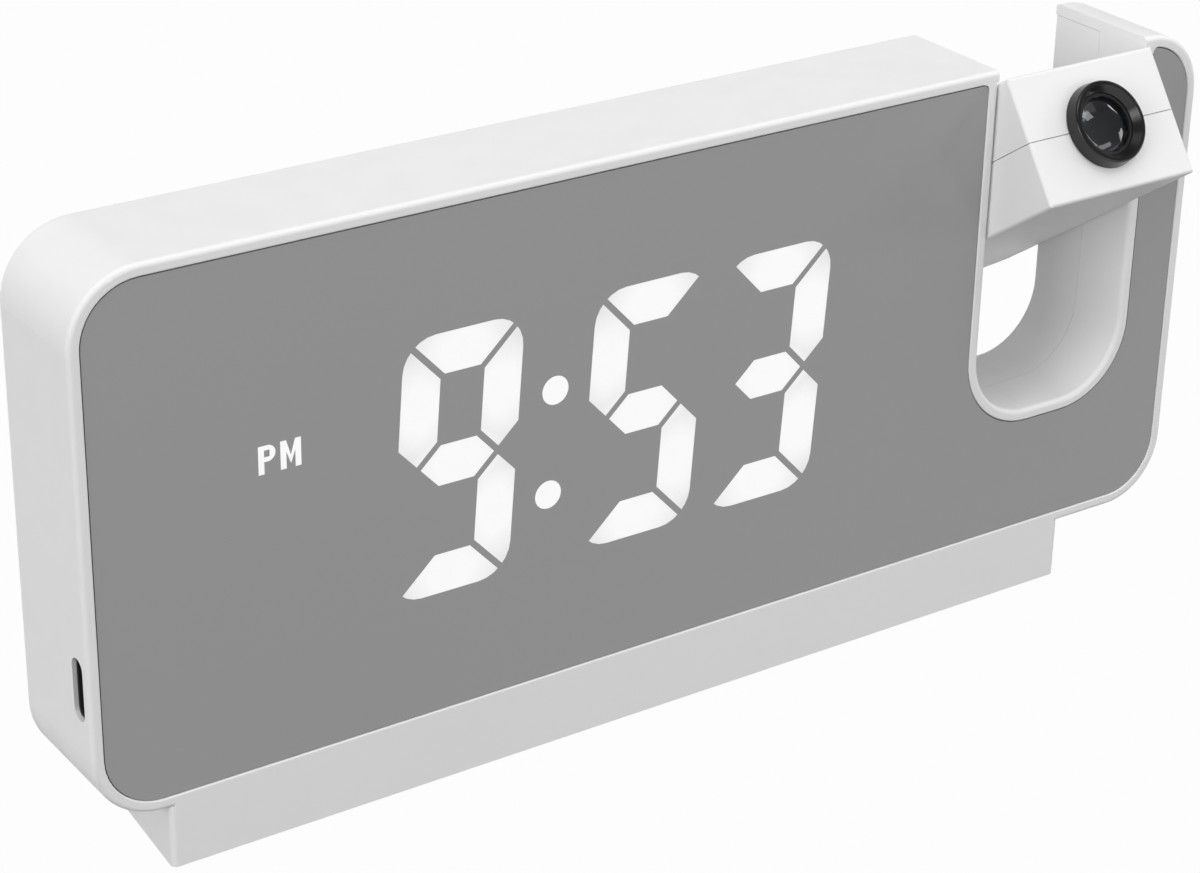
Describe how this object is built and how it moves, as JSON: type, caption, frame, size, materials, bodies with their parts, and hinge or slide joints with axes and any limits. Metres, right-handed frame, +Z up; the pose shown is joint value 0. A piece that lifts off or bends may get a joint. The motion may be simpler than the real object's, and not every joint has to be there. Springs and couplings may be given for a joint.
{
  "type": "projection alarm clock",
  "caption": "Slim mirror-faced digital alarm clock on a flat foot, with a projector head that tilts in a notch at its top right corner.",
  "frame": {"origin": "on the table, on the underside of the anti-slip mat, below the middle of the case's width and the middle of the foot's depth", "axes": "+X to the viewer's right across the mirror, +Y from the mirror to the back, +Z up"},
  "size_m": [0.185, 0.0625, 0.0869],
  "materials": {
    "white_gloss_plastic": "smooth gloss",
    "white_satin_plastic": "fine satin",
    "smoked_mirror": "polished half mirror",
    "lit_diffuser": "lit milky diffuser",
    "circuit_board": "solder mask",
    "bright_steel": "plated",
    "brass": "plain",
    "black_plastic": "matt",
    "black_gloss_plastic": "gloss",
    "ivory_plastic": "plain",
    "dark_rubber": "matt",
    "lens_glass": "clear",
    "smoked_glass": "tinted"
  },
  "bodies": {
    "case": {"front_shell": "white_gloss_plastic", "rear_cover": "white_gloss_plastic", "mirror_panel": "smoked_mirror", "hour_segments": "lit_diffuser", "minute_tens_segments": "lit_diffuser", "minute_units_segments": "lit_diffuser", "colon_dots": "lit_diffuser", "pm_indicator": "lit_diffuser", "display_reflector": "white_satin_plastic", "display_board": "circuit_board", "usb_c_socket": "black_plastic", "board_header": "black_plastic", "controller_chip": "black_plastic", "lead_socket": "ivory_plastic", "board_spacers": "brass", "main_board": "circuit_board", "tact_switches": "black_plastic", "buzzer": "black_plastic", "cell_holder": "black_plastic", "coin_cell": "bright_steel", "cell_contact": "brass", "board_screws": "bright_steel", "case_screws": "bright_steel", "foot": "white_gloss_plastic", "foot_cover": "white_satin_plastic", "ballast_plate": "bright_steel", "anti_slip_mat": "dark_rubber", "foot_screws": "bright_steel", "foot_cover_screws": "bright_steel"},
    "snooze_bar": {"snooze_bar": "white_satin_plastic"},
    "alarm_button": {"alarm_button": "white_satin_plastic"},
    "mode_button": {"mode_button": "white_satin_plastic"},
    "up_button": {"up_button": "white_satin_plastic"},
    "down_button": {"down_button": "white_satin_plastic"},
    "projection_button": {"projection_button": "white_satin_plastic"},
    "cell_door": {"cell_door": "white_satin_plastic"},
    "head": {"head_upper_shell": "white_gloss_plastic", "head_lower_shell": "white_gloss_plastic", "pivot_tube": "ivory_plastic", "pivot_pin": "ivory_plastic", "friction_rings": "dark_rubber", "lamp_housing": "black_plastic", "led_board": "circuit_board", "projector_led": "lens_glass", "condenser_lens": "lens_glass", "time_slide": "smoked_glass", "head_screws": "bright_steel", "projector_lead": "dark_rubber"},
    "focus_ring": {"focus_ring": "black_gloss_plastic"},
    "lens_barrel": {"lens_barrel": "black_plastic", "projection_lens": "lens_glass"}
  },
  "joints": [
    {"name": "projector_tilt", "type": "hinge", "parent": "case", "child": "head", "pos_m": [0.0671, -0.0152, 0.0663], "axis": [1, 0, 0], "range_deg": [-144.7, 35.3]},
    {"name": "focus_turn", "type": "hinge", "parent": "head", "child": "focus_ring", "pos_m": [0.0671, -0.0152, 0.0663], "axis": [0, -0.8161, 0.5779], "range_deg": [-60, 60]},
    {"name": "focus_slide", "type": "slide", "parent": "head", "child": "lens_barrel", "axis": [0, -0.8161, 0.5779], "range_m": [-0.0006, 0.0006]},
    {"name": "snooze_bar_press", "type": "slide", "parent": "case", "child": "snooze_bar", "axis": [0, -1, 0], "range_m": [0, 0.0005], "stiffness_N_per_m": 600},
    {"name": "alarm_button_press", "type": "slide", "parent": "case", "child": "alarm_button", "axis": [0, -1, 0], "range_m": [0, 0.0005], "stiffness_N_per_m": 600},
    {"name": "mode_button_press", "type": "slide", "parent": "case", "child": "mode_button", "axis": [0, -1, 0], "range_m": [0, 0.0005], "stiffness_N_per_m": 600},
    {"name": "up_button_press", "type": "slide", "parent": "case", "child": "up_button", "axis": [0, -1, 0], "range_m": [0, 0.0005], "stiffness_N_per_m": 600},
    {"name": "down_button_press", "type": "slide", "parent": "case", "child": "down_button", "axis": [0, -1, 0], "range_m": [0, 0.0005], "stiffness_N_per_m": 600},
    {"name": "projection_button_press", "type": "slide", "parent": "case", "child": "projection_button", "axis": [0, -1, 0], "range_m": [0, 0.0005], "stiffness_N_per_m": 600},
    {"name": "cell_door_turn", "type": "hinge", "parent": "case", "child": "cell_door", "pos_m": [0.002, -0.006, 0.0337], "axis": [0, 1, 0], "range_deg": [0, 60]}
  ],
  "couplings": [
    {"joint": "focus_turn", "follows": "focus_slide", "rad_per_m": 1745.3}
  ]
}
